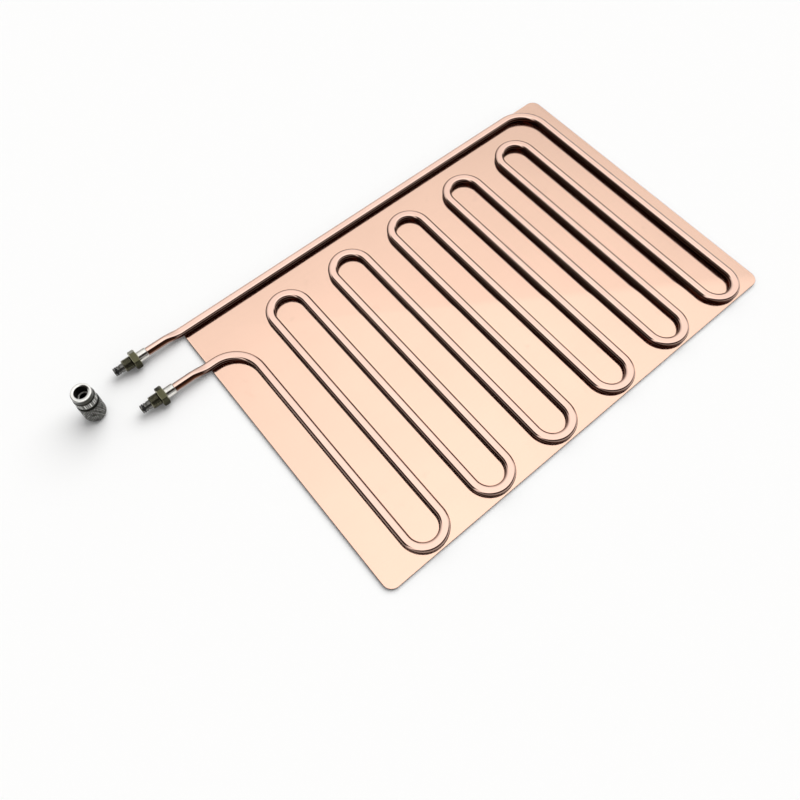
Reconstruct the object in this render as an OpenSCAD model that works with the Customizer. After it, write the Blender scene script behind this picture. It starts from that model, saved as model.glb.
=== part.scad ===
// Copper liquid cooling plate: a flat copper plate with one flattened copper
// tube soldered on it in twelve straight runs. Both ends of the tube leave at
// the same short edge, turn round again and carry a threaded nozzle each. One
// knurled coupling that screws on the nozzles stands beside the plate.
// Frame: origin at the middle of the plate's underside, X along the plate
// (the nozzles point along -X), Y across it, Z up. Millimetres.

/* [Plate] */
// Length of the plate, along the headers
plate_l = 450; // [300:1:700]
// Width of the plate, along the runs
plate_w = 300; // [200:1:500]
// Thickness of the plate
plate_t = 3; // [1:0.5:8]
// Radius of the plate's corners
plate_corner_r = 9; // [2:0.5:20]

/* [Coolant tube] */
// Outer diameter of the tube where it is round
tube_d = 8; // [6:0.5:10]
// Wall of the tube
tube_wall = 1; // [0.5:0.1:1.2]
// How much the tube is pressed down where it lies on the plate
tube_press = 2; // [1:0.1:2.5]
// Distance from one run's centreline to the next
run_pitch = 36; // [26:1:60]
// From the last run's centreline to the plate's end
last_run_inset = 19; // [10:1:40]
// Bare strip between the near return bends and the plate's edge
near_strip = 1.4; // [0.5:0.1:20]
// Bare strip between the far return bends and the header along the far edge
header_strip = 17.3; // [6:0.1:40]
// Centreline radius of the two corner bends
corner_bend_r = 29; // [15:1:40]
// Distance between the centrelines of the two tube ends
port_pitch = 45.5; // [36:0.5:90]
// Tube that shows between the plate's end and the nozzle
free_reach = 35; // [24:1:90]
// Length over which the tube goes from flat to round
flare_l = 18; // [10:1:22]

/* [Nozzles] */
// Wall of the socket that holds the tube
socket_wall = 1; // [0.6:0.1:2]
// Length of the socket
socket_l = 9; // [6:0.5:16]
// How far the tube goes into the socket
socket_depth = 8; // [3:0.5:11]
// Diameter of the stem inside the threaded collar
stem_d = 8; // [6:0.1:9]
// Diameter of the nose in front of the collar
nose_d = 7.8; // [7:0.1:8.6]
// Length of the nose
nose_l = 9.5; // [8.5:0.5:14]
// Bore through the nozzle
port_bore = 3.5; // [2:0.1:3.8]
// Thickness of the seal ring on the nose
seal_cord = 1.5; // [1.1:0.1:1.8]
// How far the seal ring stands proud of the nose
seal_proud = 0.15; // [0.05:0.01:0.3]
// Length of the lip in front of the seal ring
lip_l = 1.5; // [0.8:0.1:2.5]
// Depth of the latch groove behind the seal ring
latch_depth = 0.5; // [0.2:0.1:0.8]
// Width of the latch groove
latch_w = 1.4; // [0.6:0.1:2]

/* [Threaded collars] */
// Width of the hexagon across its flats
hex_af = 16; // [14:0.5:22]
// Length of the hexagon
hex_t = 6; // [3:0.5:12]
// Turn of the hexagon away from corner down, in degrees
hex_turn = 11; // [-29:1:29]
// Outer diameter of the thread
thread_d = 12; // [11.5:0.5:16]
// Length of the thread
thread_l = 8.5; // [5:0.5:14]
// Pitch of the thread
thread_pitch = 1; // [0.5:0.25:1.5]
// Chamfer at the thread's end and on the hexagon's corners
collar_chamfer = 0.6; // [0.2:0.1:1]

/* [Coupling] */
// Height of the coupling
coupling_l = 42; // [40:0.5:70]
// Diameter of the rim round the threaded mouth
rim_d = 17.6; // [17:0.1:19]
// Diameter over the diamond knurl
grip_d = 20; // [19.5:0.1:28]
// Diameter of the end that the coupling stands on
foot_d = 16; // [14:0.1:19]
// Length of the taper down to that end
foot_taper_l = 4; // [1:0.5:8]
// Length of the plain band behind the rim
front_band_l = 6.5; // [3:0.5:10]
// Length of the band of straight teeth
teeth_band_l = 7.5; // [3:0.5:10]
// Number of straight teeth
tooth_count = 36; // [24:1:60]
// Height of a straight tooth
tooth_h = 0.4; // [0.2:0.05:0.8]
// Length of the plain neck between the teeth and the knurl
neck_l = 2.5; // [1:0.5:6]
// Number of diamonds round the knurl
diamond_count = 30; // [20:1:40]
// Height of one diamond
diamond_h = 3; // [2:0.25:6]
// Depth of the knurl's grooves
diamond_depth = 0.4; // [0.2:0.05:0.8]
// Thickness of the flat seal in the coupling
flat_seal_t = 1.5; // [1:0.1:3]
// Bore of the hose port in the foot
hose_port_d = 8.6; // [6:0.1:11]
// Depth of the hose port
hose_port_l = 10; // [5:0.5:12]
// From the nozzles' tips to the coupling's axis
coupling_ahead = 31; // [18:1:90]
// From the plate's far edge to the coupling's axis
coupling_inside = 23; // [-40:1:120]

/* [Fits] */
// Radial gap of a soldered or seated joint
seat_gap = 0.05; // [0.02:0.01:0.1]
// Gap between the collars' lowest corners and the floor
floor_gap = 0.1; // [0.05:0.05:1]

/* [Hidden] */

ROUND = 96;        // facets of a full circle on screen
BLEND_ROUND = 32;  // facets of the ends that a flare is hulled between
SHRINK = 0.1;      // a flare is this much smaller than the tube it runs into
OVERLAP = 0.05;    // and reaches this far into it
TOOTH_BED = 0.1;   // how far the coupling's core lies below the roots of its teeth
BAND_STEP = 0.3;   // how far the core's own steps lie from the ends of the bands
CUT = 1;           // how far a cutting tool passes a face

COPPER = [0.93, 0.74, 0.63];
TUBE_COPPER = [0.95, 0.76, 0.66];
BRIGHT_NICKEL = [0.82, 0.82, 0.80];
OLIVE_NICKEL = [0.45, 0.44, 0.33];
DARK_NICKEL = [0.36, 0.36, 0.32];
BLACK_RUBBER = [0.05, 0.05, 0.05];
PALE_SEAL = [0.80, 0.79, 0.75];

// The tube keeps its girth when it is pressed flat. The width is a whole number
// of steps of 0.02 mm, so that runs and bends end at the same written figure.
width_step = 0.02;
flat_h = tube_d - tube_press;
flat_w = width_step * round((flat_h + PI * tube_press / 2) / width_step);
flat_z = plate_t + flat_h / 2;

// Runs: as many pairs as fit, counted from the plate's far end
exit_x = -plate_l / 2;
last_run_x = plate_l / 2 - last_run_inset;
run_pairs = floor(((last_run_x - exit_x - corner_bend_r - CUT) / run_pitch + 1) / 2);
run_count = 2 * run_pairs;
first_run_x = last_run_x - (run_count - 1) * run_pitch;
return_r = run_pitch / 2;

// Levels across the plate
near_bend_y = -plate_w / 2 + near_strip + flat_w / 2 + return_r;
header_y = plate_w / 2 - flat_w / 2;
far_bend_y = header_y - flat_w - header_strip - return_r;
inlet_y = header_y - port_pitch;
header_bend_y = header_y - corner_bend_r;
inlet_bend_y = inlet_y - corner_bend_r;

// Nozzles: distances along the axis start at the socket's mouth
hex_corner_r = hex_af / sqrt(3);
port_z = max(plate_t + tube_d / 2, hex_corner_r * cos(hex_turn) + floor_gap);
port_x = exit_x - free_reach;
stop_z = min(socket_depth, socket_l - CUT);
socket_d = tube_d + 2 * seat_gap + 2 * socket_wall;
collar_end_z = socket_l + hex_t + thread_l;
nozzle_l = collar_end_z + nose_l;
seal_groove_w = seal_cord + 0.5;
seal_groove_r = nose_d / 2 + seal_proud - seal_cord;
latch_z = nozzle_l - lip_l - seal_groove_w - 1.4 - latch_w;
mouth_d = port_bore + 1.4;
mouth_l = 0.7;

// Coupling: heights above the floor
mouth_z = coupling_l - thread_l;
thread_bore_d = thread_d - thread_pitch;
nose_bore_d = nose_d + 0.2;
pocket_d = thread_bore_d - 0.8;
pocket_z = mouth_z - flat_seal_t;
nose_end_z = pocket_z - nose_l - 0.5;
front_z = coupling_l - front_band_l;
teeth_z = front_z - teeth_band_l;
neck_z = teeth_z - neck_l;
tooth_r = rim_d / 2 + 0.7;
tooth_root_r = tooth_r - tooth_h;
grip_rows = 2 * max(1, round((neck_z - foot_taper_l) / diamond_h));
coupling_x = port_x - nozzle_l - coupling_ahead;
coupling_y = plate_w / 2 - coupling_inside;

// Section of the pressed tube, or of its passage one wall further in
module flat_section(inset, facets) {
    r = flat_h / 2 - inset;
    square([flat_w - flat_h, 2 * r], center = true);
    for (side = [-1, 1])
        translate([side * (flat_w - flat_h) / 2, 0])
            circle(r = r, $fn = facets);
}

// Straight run along Y from y0 to y1
module run_across(x, y0, y1, inset) {
    translate([x, y1, flat_z])
        rotate([90, 0, 0])
            linear_extrude(height = y1 - y0)
                flat_section(inset, ROUND);
}

// Straight run along X from x0 to x1
module run_along(y, x0, x1, inset) {
    translate([x0, y, flat_z])
        rotate([90, 0, 90])
            linear_extrude(height = x1 - x0)
                flat_section(inset, ROUND);
}

// Bend of the pressed tube about a point, from angle a0 over a turn
module bend(x, y, r, a0, turn, inset) {
    translate([x, y, flat_z])
        rotate([0, 0, a0])
            rotate_extrude(angle = turn, $fn = ROUND)
                translate([r, 0])
                    flat_section(inset, ROUND);
}

// The pressed tube from one end to the other: inlet, runs with their return
// bends, and the header back along the far edge
module serpentine(inset) {
    run_along(inlet_y, exit_x, first_run_x - corner_bend_r, inset);
    bend(first_run_x - corner_bend_r, inlet_bend_y, corner_bend_r, 0, 90, inset);
    for (i = [0 : run_count - 1]) {
        x = first_run_x + i * run_pitch;
        top = i == 0 ? inlet_bend_y : (i == run_count - 1 ? header_bend_y : far_bend_y);
        run_across(x, near_bend_y, top, inset);
        if (i < run_count - 1 && i % 2 == 0)
            bend(x + return_r, near_bend_y, return_r, 180, 180, inset);
        if (i < run_count - 1 && i % 2 == 1)
            bend(x + return_r, far_bend_y, return_r, 0, 180, inset);
    }
    bend(last_run_x - corner_bend_r, header_bend_y, corner_bend_r, 0, 90, inset);
    run_along(header_y, exit_x, last_run_x - corner_bend_r, inset);
}

// Flat section swelling and rising into the round one, outside the plate
module flare(y, inset) {
    hull() {
        translate([exit_x, y, flat_z])
            rotate([90, 0, 90])
                linear_extrude(height = OVERLAP)
                    flat_section(inset + SHRINK, BLEND_ROUND);
        translate([exit_x - flare_l - OVERLAP, y, port_z])
            rotate([90, 0, 90])
                linear_extrude(height = OVERLAP)
                    circle(d = tube_d - 2 * inset - 2 * SHRINK, $fn = BLEND_ROUND);
    }
}

// Round end of the tube, down to the stop in the nozzle's socket
module round_end(y, inset, past) {
    length = free_reach - flare_l + stop_z + past;
    translate([exit_x - flare_l, y, port_z])
        rotate([0, -90, 0])
            cylinder(d = tube_d - 2 * inset, h = length, $fn = ROUND);
}

module tube_body(inset, past) {
    serpentine(inset);
    for (y = [inlet_y, header_y]) {
        flare(y, inset);
        round_end(y, inset, past);
    }
}

module base_plate() {
    color(COPPER)
        linear_extrude(height = plate_t)
            rounded_rectangle(plate_l, plate_w, plate_corner_r);
}

module rounded_rectangle(l, w, r) {
    square([l - 2 * r, w], center = true);
    square([l, w - 2 * r], center = true);
    for (sx = [-1, 1], sy = [-1, 1])
        translate([sx * (l / 2 - r), sy * (w / 2 - r)])
            circle(r = r, $fn = ROUND);
}

module coolant_tube() {
    color(TUBE_COPPER)
        difference() {
            tube_body(0, 0);
            tube_body(tube_wall, CUT);
        }
}

// A turned piece's own axis Z points out of the tube's end, along -X
module at_port(y) {
    translate([port_x, y, port_z])
        rotate([0, -90, 0])
            children();
}

// Nozzle: socket for the tube, stem inside the collar, nose with its grooves
module nozzle_turning() {
    socket_r = socket_d / 2;
    nose_r = nose_d / 2;
    bevel = 0.5;
    seal_z0 = nozzle_l - lip_l - seal_groove_w;
    difference() {
        rotate_extrude($fn = ROUND)
            polygon([
                [0, 0],
                [socket_r - bevel, 0],
                [socket_r, bevel],
                [socket_r, socket_l],
                [stem_d / 2, socket_l],
                [stem_d / 2, collar_end_z],
                [nose_r, collar_end_z],
                [nose_r, latch_z],
                [nose_r - latch_depth, latch_z + latch_depth / 2],
                [nose_r - latch_depth, latch_z + latch_w - latch_depth / 2],
                [nose_r, latch_z + latch_w],
                [nose_r, seal_z0],
                [seal_groove_r, seal_z0],
                [seal_groove_r, seal_z0 + seal_groove_w],
                [nose_r, seal_z0 + seal_groove_w],
                [nose_r, nozzle_l - bevel],
                [nose_r - bevel, nozzle_l],
                [0, nozzle_l]
            ]);
        translate([0, 0, -CUT])
            cylinder(d = tube_d + 2 * seat_gap, h = stop_z + CUT, $fn = ROUND);
        cylinder(d = port_bore, h = nozzle_l + CUT, $fn = ROUND);
        translate([0, 0, nozzle_l - mouth_l])
            cylinder(d = mouth_d, h = mouth_l + CUT, $fn = ROUND);
    }
}

// Collar: hexagon behind, thread in front, both bored for the stem
module collar_turning() {
    difference() {
        union() {
            intersection() {
                translate([0, 0, socket_l])
                    rotate([0, 0, hex_turn])
                        cylinder(r = hex_corner_r, h = hex_t, $fn = 6);
                translate([0, 0, socket_l])
                    rotate_extrude($fn = ROUND)
                        polygon([
                            [0, 0],
                            [hex_af / 2, 0],
                            [hex_af / 2 + 2 * collar_chamfer, collar_chamfer],
                            [hex_af / 2 + 2 * collar_chamfer, hex_t - collar_chamfer],
                            [hex_af / 2, hex_t],
                            [0, hex_t]
                        ]);
            }
            translate([0, 0, socket_l])
                rotate_extrude($fn = ROUND)
                    polygon([
                        [0, 0],
                        [thread_d / 2, 0],
                        [thread_d / 2, hex_t + thread_l - collar_chamfer],
                        [thread_d / 2 - collar_chamfer, hex_t + thread_l],
                        [0, hex_t + thread_l]
                    ]);
        }
        translate([0, 0, socket_l - CUT])
            cylinder(d = stem_d + 2 * seat_gap, h = hex_t + thread_l + 2 * CUT, $fn = ROUND);
    }
}

// Rubber ring in the nose's groove, just touching the groove's floor
module seal_ring_turning() {
    translate([0, 0, nozzle_l - lip_l - seal_groove_w / 2])
        rotate_extrude($fn = ROUND)
            translate([seal_groove_r + seal_cord / 2 + seat_gap / 2, 0])
                circle(d = seal_cord, $fn = BLEND_ROUND);
}

module inlet_nozzle() {
    color(BRIGHT_NICKEL)
        at_port(inlet_y)
            nozzle_turning();
}

module outlet_nozzle() {
    color(BRIGHT_NICKEL)
        at_port(header_y)
            nozzle_turning();
}

module inlet_collar() {
    color(OLIVE_NICKEL)
        at_port(inlet_y)
            collar_turning();
}

module outlet_collar() {
    color(OLIVE_NICKEL)
        at_port(header_y)
            collar_turning();
}

module inlet_seal_ring() {
    color(BLACK_RUBBER)
        at_port(inlet_y)
            seal_ring_turning();
}

module outlet_seal_ring() {
    color(BLACK_RUBBER)
        at_port(header_y)
            seal_ring_turning();
}

// Ring of straight teeth with pointed crests
module straight_teeth() {
    step = 360 / tooth_count;
    translate([0, 0, teeth_z])
        linear_extrude(height = teeth_band_l)
            polygon([
                for (i = [0 : tooth_count - 1], half = [0, 1])
                    let (a = (i + half / 2) * step, r = half == 0 ? tooth_r : tooth_root_r)
                        [r * cos(a), r * sin(a)]
            ]);
}

// Diamond knurl: crests and roots alternate on a grid, and every facet joins
// one crest to two roots, so the roots form the crossed grooves. The first and
// last row have no crests.
module diamond_grip() {
    columns = 2 * diamond_count;
    row_h = (neck_z - foot_taper_l) / grip_rows;
    function grip_point(i, j) =
        let (
            crest = (i + j) % 2 == 0 && j > 0 && j < grip_rows,
            r = grip_d / 2 - (crest ? 0 : diamond_depth),
            a = i * 360 / columns
        )
        [r * cos(a), r * sin(a), foot_taper_l + j * row_h];
    points = [for (j = [0 : grip_rows], i = [0 : columns - 1]) grip_point(i, j)];
    sides = [
        for (j = [0 : grip_rows - 1], i = [0 : columns - 1])
            let (
                a = j * columns + i,
                b = j * columns + (i + 1) % columns,
                c = a + columns,
                d = b + columns
            )
            each ((i + j) % 2 == 0 ? [[a, c, b], [b, c, d]] : [[a, c, d], [a, d, b]])
    ];
    lower_end = [[for (i = [0 : columns - 1]) i]];
    upper_end = [[for (i = [columns - 1 : -1 : 0]) grip_rows * columns + i]];
    polyhedron(points = points, faces = concat(sides, lower_end, upper_end), convexity = 4);
}

// Coupling: threaded mouth at the top, passage, hose port in the foot
module coupling_sleeve() {
    neck_r = tooth_root_r - TOOTH_BED;
    grip_core_r = grip_d / 2 - diamond_depth - 2 * TOOTH_BED;
    foot_r = foot_d / 2;
    color(DARK_NICKEL)
        translate([coupling_x, coupling_y, 0])
            difference() {
                union() {
                    rotate_extrude($fn = ROUND)
                        polygon([
                            [0, 0],
                            [foot_r - 0.8, 0],
                            [foot_r, 0.4],
                            [grip_core_r, foot_taper_l - BAND_STEP],
                            [grip_core_r, neck_z - BAND_STEP],
                            [neck_r, neck_z - BAND_STEP],
                            [neck_r, front_z + BAND_STEP],
                            [rim_d / 2, coupling_l - 0.3],
                            [rim_d / 2 - 0.3, coupling_l],
                            [0, coupling_l]
                        ]);
                    straight_teeth();
                    diamond_grip();
                }
                translate([0, 0, mouth_z])
                    cylinder(d = thread_bore_d, h = thread_l + CUT, $fn = ROUND);
                translate([0, 0, pocket_z])
                    cylinder(d = pocket_d, h = flat_seal_t + CUT, $fn = ROUND);
                translate([0, 0, nose_end_z])
                    cylinder(d = nose_bore_d, h = pocket_z - nose_end_z + CUT, $fn = ROUND);
                cylinder(d = port_bore, h = coupling_l, $fn = ROUND);
                translate([0, 0, -CUT])
                    cylinder(d = hose_port_d, h = hose_port_l + CUT, $fn = ROUND);
            }
}

// Flat seal ring that the collar's end is screwed against
module coupling_flat_seal() {
    color(PALE_SEAL)
        translate([coupling_x, coupling_y, pocket_z])
            difference() {
                cylinder(d = pocket_d - 2 * seat_gap, h = flat_seal_t, $fn = ROUND);
                translate([0, 0, -CUT])
                    cylinder(d = nose_bore_d + 0.2, h = flat_seal_t + 2 * CUT, $fn = ROUND);
            }
}

base_plate();
coolant_tube();
inlet_nozzle();
outlet_nozzle();
inlet_collar();
outlet_collar();
inlet_seal_ring();
outlet_seal_ring();
coupling_sleeve();
coupling_flat_seal();
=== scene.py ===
"""Liquid cooling plate: copper plate, pressed coolant tube, nozzles, collars and coupling.

Run as a script in Blender 4.5. Every piece is worked out from its sizes as a surface
on a grid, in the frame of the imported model: X along the plate, Y across it, Z up.
"""

import functools
import math

import bpy
import numpy as np
from mathutils import Euler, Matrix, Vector


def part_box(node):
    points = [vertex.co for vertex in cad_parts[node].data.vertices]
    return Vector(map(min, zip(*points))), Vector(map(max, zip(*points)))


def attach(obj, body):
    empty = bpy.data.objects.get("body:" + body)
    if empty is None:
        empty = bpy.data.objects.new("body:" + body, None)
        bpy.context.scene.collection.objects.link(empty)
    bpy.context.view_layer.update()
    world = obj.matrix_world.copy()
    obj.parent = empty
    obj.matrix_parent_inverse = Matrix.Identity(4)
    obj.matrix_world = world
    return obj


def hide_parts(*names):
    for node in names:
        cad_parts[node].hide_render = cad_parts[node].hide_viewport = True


bl_info = {
    "name": "Liquid cooling plate",
    "version": (1, 0, 0),
    "blender": (4, 5, 0),
    "location": "3D View > Sidebar > Cooling plate",
    "description": "Makes a copper cooling plate with its tube, fittings and coupling",
    "category": "Object",
}

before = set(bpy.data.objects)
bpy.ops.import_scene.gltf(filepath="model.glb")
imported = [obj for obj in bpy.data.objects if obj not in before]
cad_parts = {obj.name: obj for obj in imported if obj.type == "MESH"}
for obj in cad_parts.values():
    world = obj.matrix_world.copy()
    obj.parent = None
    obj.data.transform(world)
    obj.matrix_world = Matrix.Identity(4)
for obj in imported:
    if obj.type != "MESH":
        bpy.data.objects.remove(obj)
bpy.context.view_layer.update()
PLATE_LOW, PLATE_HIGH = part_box("base_plate")
COUPLING_LOW, COUPLING_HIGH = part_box("coupling_sleeve")
INLET_LOW, INLET_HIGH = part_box("inlet_nozzle")
OUTLET_LOW, OUTLET_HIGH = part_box("outlet_nozzle")

MM = 0.001
TURN = 2 * math.pi
SOCKET_DEPTH = 8 * MM
# depth of a metric thread as a share of its pitch
THREAD_DEPTH = 0.6134


# Settings


def length(name, mm, description):
    """A length in metres, given here in millimetres."""
    return bpy.props.FloatProperty(
        name=name, description=description, default=mm * MM, min=0.0, precision=5, unit="LENGTH"
    )


def tint(name, rgb, description):
    """A linear colour."""
    return bpy.props.FloatVectorProperty(
        name=name, description=description, default=rgb, size=3, min=0.0, max=1.0, subtype="COLOR"
    )


class PlateSizes(bpy.types.PropertyGroup):
    edge_r: length("Edge rounding", 0.35, "Radius along the plate's edges")
    corner_r: length("Corner radius", 9.0, "Radius of the plate's four corners, from above")
    copper: tint("Copper", (0.93, 0.63, 0.49), "Colour of the rolled copper")


class TubeSizes(bpy.types.PropertyGroup):
    diameter: length("Diameter", 8.0, "Outer diameter of the round tube")
    press: length("Press", 2.0, "How much the tube is pressed flat on the plate")
    pitch: length("Pitch", 36.0, "Distance from run to run")
    last_inset: length("Last run inset", 19.0, "From the last run to the plate's end")
    near_strip: length("Near strip", 1.4, "From the near return bends to the plate's edge")
    header_strip: length("Header strip", 17.3, "From the far return bends to the header")
    corner_bend_r: length("Corner bend", 29.0, "Radius of the two corner bends")
    flare: length("Flare", 18.0, "Length over which the flat tube turns round")
    reach: length("Reach", 35.0, "Tube that shows between the plate and the nozzle")
    runs: bpy.props.IntProperty(
        name="Runs", description="Straight runs across the plate", default=12, min=2, max=24
    )
    copper: tint("Copper", (0.93, 0.65, 0.54), "Colour of the drawn copper")


class FittingSizes(bpy.types.PropertyGroup):
    socket_d: length("Socket", 10.1, "Outer diameter of the socket on the tube")
    socket_l: length("Socket length", 9.0, "Length of the socket")
    hex_af: length("Hexagon", 16.0, "Width of the hexagon across its flats")
    hex_l: length("Hexagon length", 6.0, "Length of the hexagon")
    hex_turn: bpy.props.FloatProperty(
        name="Hexagon turn",
        description="Turn of the hexagon from corner down",
        default=math.radians(11),
        subtype="ANGLE",
    )
    thread_d: length("Thread", 12.0, "Outer diameter of the thread")
    thread_l: length("Thread length", 8.5, "Length of the thread")
    thread_pitch: length("Thread pitch", 1.0, "Pitch of the thread")
    nose_d: length("Nose", 7.8, "Diameter of the nose")
    nose_l: length("Nose length", 9.5, "Length of the nose")
    bore_d: length("Bore", 3.5, "Bore through the nozzle")
    nickel: tint("Nickel", (0.78, 0.76, 0.71), "Colour of the bright nickel plate")
    olive: tint("Olive nickel", (0.102, 0.099, 0.056), "Colour of the darkened nickel plate")
    rubber: tint("Rubber", (0.012, 0.012, 0.013), "Colour of the seal rings")


class CouplingSizes(bpy.types.PropertyGroup):
    rim_d: length("Rim", 17.6, "Diameter of the rim round the mouth")
    grip_d: length("Grip", 20.0, "Diameter over the diamond knurl")
    foot_d: length("Foot", 16.0, "Diameter of the end that it stands on")
    height: length("Height", 42.0, "Height of the coupling")
    teeth: bpy.props.IntProperty(
        name="Teeth", description="Straight teeth round the coupling", default=36, min=12, max=72
    )
    diamonds: bpy.props.IntProperty(
        name="Diamonds", description="Diamonds round the knurl", default=30, min=12, max=72
    )
    diamond_h: length("Diamond height", 3.0, "Height of one diamond of the knurl")
    nickel: tint("Dark nickel", (0.035, 0.034, 0.026), "Colour of the coupling's plate")
    seal: tint("Seal", (0.60, 0.585, 0.53), "Colour of the flat seal in the mouth")


class StageSettings(bpy.types.PropertyGroup):
    floor: tint("Floor", (0.93, 0.93, 0.925), "Colour of the floor")
    lens: bpy.props.FloatProperty(
        name="Lens", description="Focal length", default=35.757, unit="CAMERA"
    )
    lens_shift: bpy.props.FloatVectorProperty(
        name="Lens shift", description="Shift of the picture", size=2, default=(0.02413, -0.09074)
    )
    camera_at: bpy.props.FloatVectorProperty(
        name="Camera",
        description="Place of the camera",
        default=(-0.30538, -0.24304, 0.63083),
        subtype="TRANSLATION",
        unit="LENGTH",
    )
    camera_turn: bpy.props.FloatVectorProperty(
        name="Camera turn",
        description="Turn of the camera",
        default=tuple(math.radians(a) for a in (29.630, 0.343, -39.281)),
        subtype="EULER",
    )
    key_strength: bpy.props.FloatProperty(
        name="Key light", description="Strength of the key light", default=2.1, min=0.0
    )
    dome_strength: bpy.props.FloatProperty(
        name="Dome light", description="Strength of the dome light", default=0.68, min=0.0
    )
    key_spread: bpy.props.FloatProperty(
        name="Key spread",
        description="How wide the key light looks from the plate",
        default=math.radians(60),
        subtype="ANGLE",
    )
    dome_spread: bpy.props.FloatProperty(
        name="Dome spread",
        description="How wide the dome light looks from the plate",
        default=math.radians(150),
        subtype="ANGLE",
    )


# Surfaces


def put(name, points, faces, replaced, uv=None, marks=None, sharp=None):
    """A mesh object at the origin from an array of points and an array of faces.

    uv holds two numbers a point; marks maps an attribute's name to one number a point;
    edges turned by more than the angle sharp are drawn sharp.
    """
    mesh = bpy.data.meshes.new(name)
    mesh.vertices.add(len(points))
    mesh.vertices.foreach_set("co", np.asarray(points, np.float32).ravel())
    loops = np.concatenate([np.asarray(f, np.int32).ravel() for f in faces])
    sizes = np.concatenate([np.full(len(f), np.asarray(f).shape[1], np.int32) for f in faces])
    starts = np.concatenate([[0], np.cumsum(sizes)[:-1]]).astype(np.int32)
    mesh.loops.add(len(loops))
    mesh.polygons.add(len(sizes))
    mesh.loops.foreach_set("vertex_index", loops)
    mesh.polygons.foreach_set("loop_start", starts)
    mesh.polygons.foreach_set("loop_total", sizes)
    mesh.update(calc_edges=True)
    mesh.polygons.foreach_set("use_smooth", np.ones(len(sizes), bool))
    if uv is not None:
        layer = mesh.uv_layers.new(name="along")
        layer.data.foreach_set("uv", np.asarray(uv, np.float32)[loops].ravel())
    for key, values in (marks or {}).items():
        layer = mesh.attributes.new(key, "FLOAT", "POINT")
        layer.data.foreach_set("value", np.asarray(values, np.float32).ravel())
    mesh.validate()
    if sharp is not None:
        mesh.set_sharp_from_angle(angle=sharp)
    piece = bpy.data.objects.new(name, mesh)
    bpy.context.scene.collection.objects.link(piece)
    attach(piece, "root")
    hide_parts(*replaced)
    return piece


def net(rows, columns, rows_meet=False):
    """Faces of a grid of rows by columns whose columns close into a ring.

    A corner (i, j) is point i * columns + j; rows_meet also joins the last row to the
    first, which makes the grid a closed ring of rings.
    """
    i = np.arange(rows if rows_meet else rows - 1)[:, None]
    j = np.arange(columns)[None, :]
    k = (j + 1) % columns
    n = (i + 1) % rows
    corners = [i * columns + j, i * columns + k, n * columns + k, n * columns + j]
    return np.stack(corners, -1).reshape(-1, 4)


def softened(profile, radius, steps=3):
    """A closed profile with rounded corners, cut back by the radius or by what its sides leave.

    The rounding is a quadratic curve from a point on one side to a point on the next:
    (1 - t)^2 a + 2 t (1 - t) corner + t^2 b.
    """
    most = 0.45
    p = np.asarray(profile, float)
    before = np.roll(p, 1, 0) - p
    after = np.roll(p, -1, 0) - p
    lb = np.linalg.norm(before, axis=1, keepdims=True)
    la = np.linalg.norm(after, axis=1, keepdims=True)
    cut = np.minimum(radius, most * np.minimum(lb, la))
    a = p + before / lb * cut
    b = p + after / la * cut
    t = np.linspace(0, 1, steps + 1)[None, :, None]
    curve = (1 - t) ** 2 * a[:, None] + 2 * t * (1 - t) * p[:, None] + t**2 * b[:, None]
    return curve.reshape(-1, 2)


def turned(radius, height, columns):
    """Points of a turned surface: radius and height are arrays over rows and columns.

    A point at angle a is (radius cos a, radius sin a, height).
    """
    a = np.arange(columns) * TURN / columns
    radius = np.broadcast_to(radius, (len(radius), columns))
    height = np.broadcast_to(height, (len(height), columns))
    return np.stack([radius * np.cos(a), radius * np.sin(a), height], -1)


def at_port(points, y, z, socket_x):
    """Turns an upright piece so that its axis runs along -X from the socket's mouth.

    The piece's own x goes up, its y goes along Y, and its z goes along -X.
    """
    return np.stack([socket_x - points[..., 2], y + points[..., 1], z + points[..., 0]], -1)


def saw(x):
    """Zigzag of period 1: 0 at whole numbers and 1 half way between."""
    return 1 - np.abs(2 * (x - np.floor(x)) - 1)


def ease(x):
    """Smooth step from 0 to 1: 3 x^2 - 2 x^3, held flat outside."""
    x = np.clip(x, 0, 1)
    return x * x * (3 - 2 * x)


def faded_ends(z, width):
    """1 over the heights z, eased down to 0 over the width at both ends."""
    return np.minimum(ease((z - z[0]) / width), ease((z[-1] - z) / width))[:, None]


# Shader maths


class Wire:
    """A socket that can stand in a sum: + - * on wires and numbers add Math nodes."""

    def __init__(self, paint, socket):
        self.paint = paint
        self.socket = socket

    def math(self, operation, *values):
        """Adds a Math node for the operation."""
        return self.paint.node("ShaderNodeMath", {"operation": operation}, values)

    def __add__(self, other):
        return self.math("ADD", self, other)

    def __sub__(self, other):
        return self.math("SUBTRACT", self, other)

    def __rsub__(self, other):
        return self.math("SUBTRACT", other, self)

    def __mul__(self, other):
        return self.math("MULTIPLY", self, other)

    __radd__ = __add__
    __rmul__ = __mul__

    def band(self, low, high):
        """0 below low and 1 above high, smooth between."""
        return self.paint.node(
            "ShaderNodeMapRange",
            {"interpolation_type": "SMOOTHSTEP"},
            {"Value": self, "From Min": low, "From Max": high},
        )


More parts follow.
